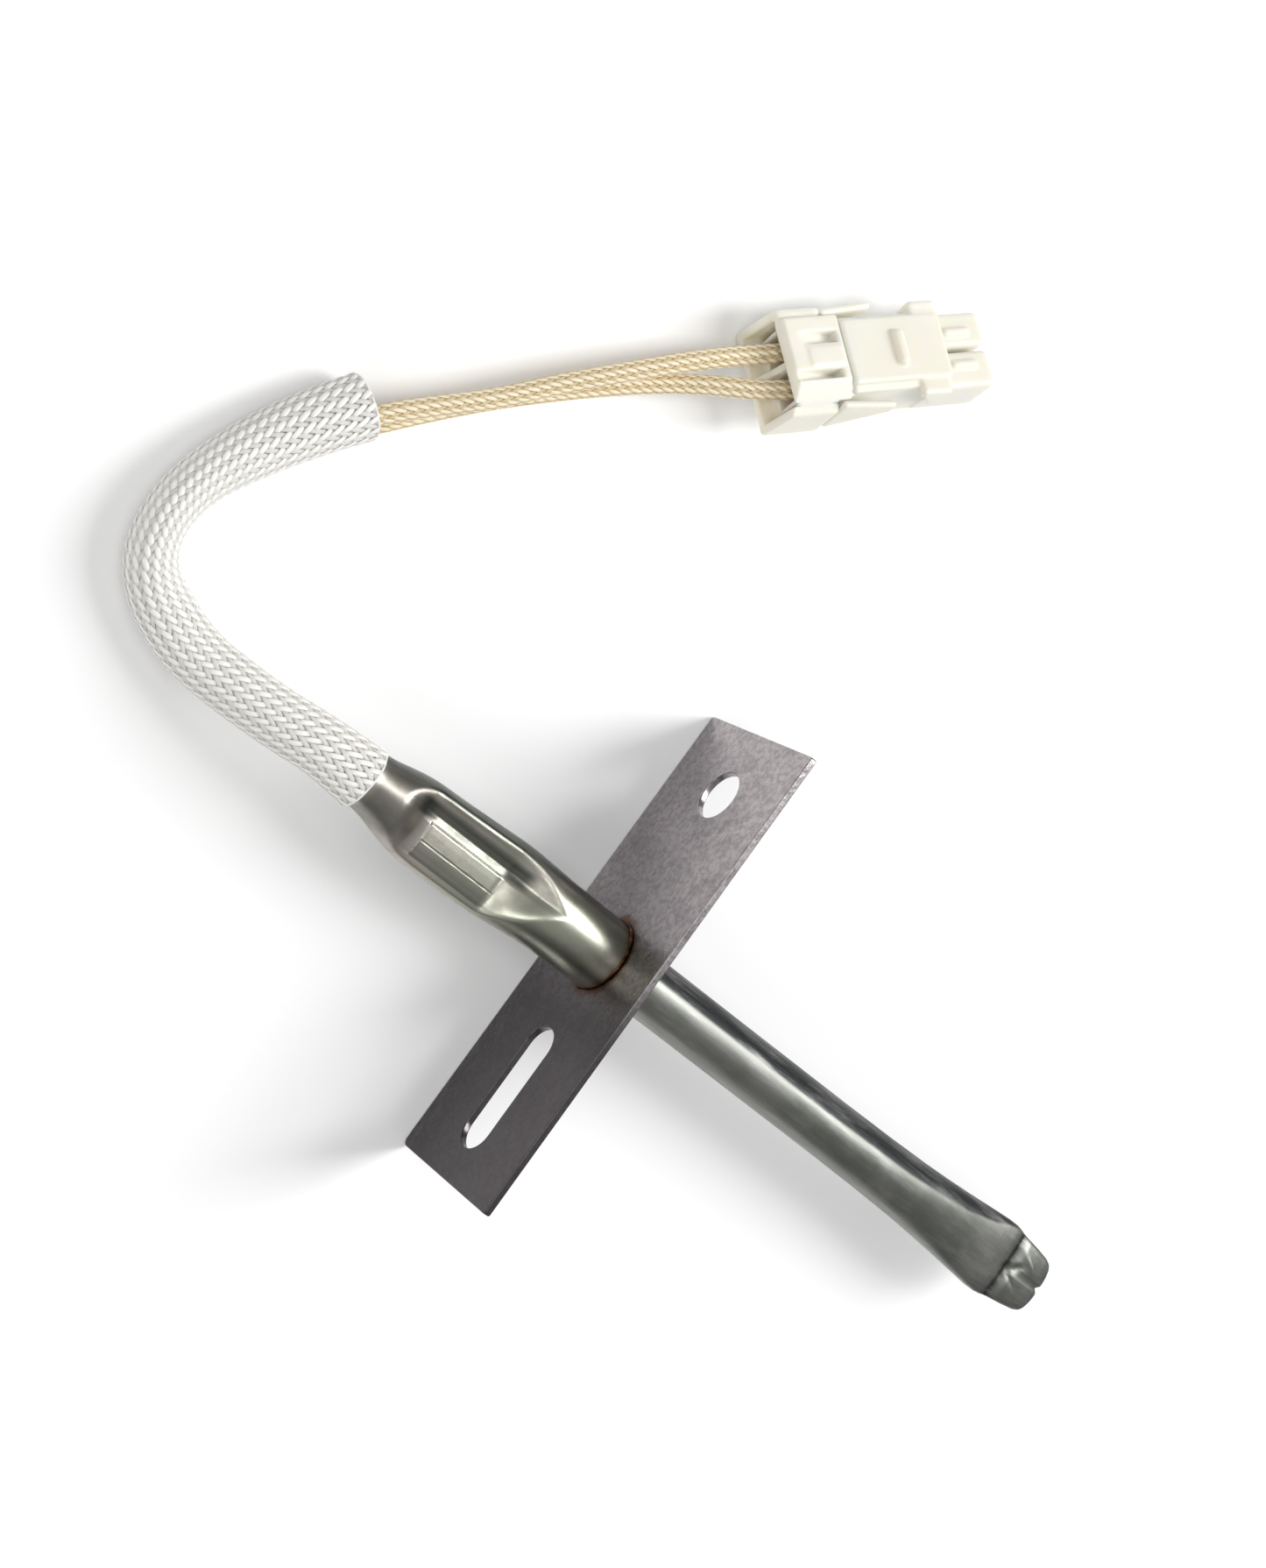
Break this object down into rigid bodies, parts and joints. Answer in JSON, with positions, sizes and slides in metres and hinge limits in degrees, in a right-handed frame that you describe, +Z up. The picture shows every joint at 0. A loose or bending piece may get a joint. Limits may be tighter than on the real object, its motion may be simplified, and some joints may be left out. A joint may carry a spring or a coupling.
{
  "type": "oven temperature sensor",
  "caption": "Oven temperature sensor: stainless probe with a pinched tip, flat bracket with hole and slot, crimped ferrule, braided sleeve, leads and nylon plug.",
  "frame": {"origin": "where the probe's axis crosses the front face of the bracket, the face towards the tip", "axes": "+X along the probe towards its pinched tip, +Y along the bracket's length towards its round hole, +Z up across the bracket's width; the lower long edge stands on the surface"},
  "size_m": [0.136, 0.1018, 0.0197],
  "materials": {
    "sheath": "dull stainless with a soft sheen",
    "bracket": "mottled mill-finish stainless",
    "ferrule": "bright drawn stainless, crimped",
    "weld": "heat-tinted weld",
    "element_ceramic": "fired alumina",
    "filler": "dry cement",
    "element_wire": "drawn nickel wire",
    "splice": "plated crimp barrel",
    "splice_cover": "glass-fibre tube",
    "lead_core": "nickel-plated strand",
    "lead_braid": "varnished cream glass braid",
    "sleeve": "white glass-fibre braid",
    "nylon": "natural moulded nylon",
    "terminal": "tinned brass"
  },
  "bodies": {
    "root": {"probe_sheath": "sheath", "mounting_bracket": "bracket", "crimp_ferrule": "ferrule", "weld_bead": "weld", "rtd_chip": "element_ceramic", "element_wires": "element_wire", "ceramic_insulator": "element_ceramic", "tip_filler": "filler", "splice_crimps": "splice", "splice_covers": "splice_cover", "lead_core_a": "lead_core", "lead_core_b": "lead_core", "lead_braid_a": "lead_braid", "lead_braid_b": "lead_braid", "outer_sleeve": "sleeve", "connector_housing": "nylon", "terminal_a": "terminal", "terminal_b": "terminal"},
    "terminal_lock": {"terminal_lock": "nylon"},
    "lock_arm_far": {"lock_arm_far": "nylon"},
    "lock_arm_near": {"lock_arm_near": "nylon"}
  },
  "joints": [
    {"name": "terminal_lock_slide", "type": "slide", "parent": "root", "child": "terminal_lock", "axis": [-0.319, 0.3445, 0.8829], "range_m": [0, 0.0012]},
    {"name": "lock_arm_far_flex", "type": "hinge", "parent": "root", "child": "lock_arm_far", "pos_m": [-0.0201, 0.06248, -0.00739], "axis": [-0.319, 0.3445, 0.8829], "range_deg": [-8, 0], "stiffness_Nm_per_rad": 0.05},
    {"name": "lock_arm_near_flex", "type": "hinge", "parent": "root", "child": "lock_arm_near", "pos_m": [-0.01422, 0.05613, -0.00279], "axis": [-0.319, 0.3445, 0.8829], "range_deg": [0, 8], "stiffness_Nm_per_rad": 0.05}
  ]
}
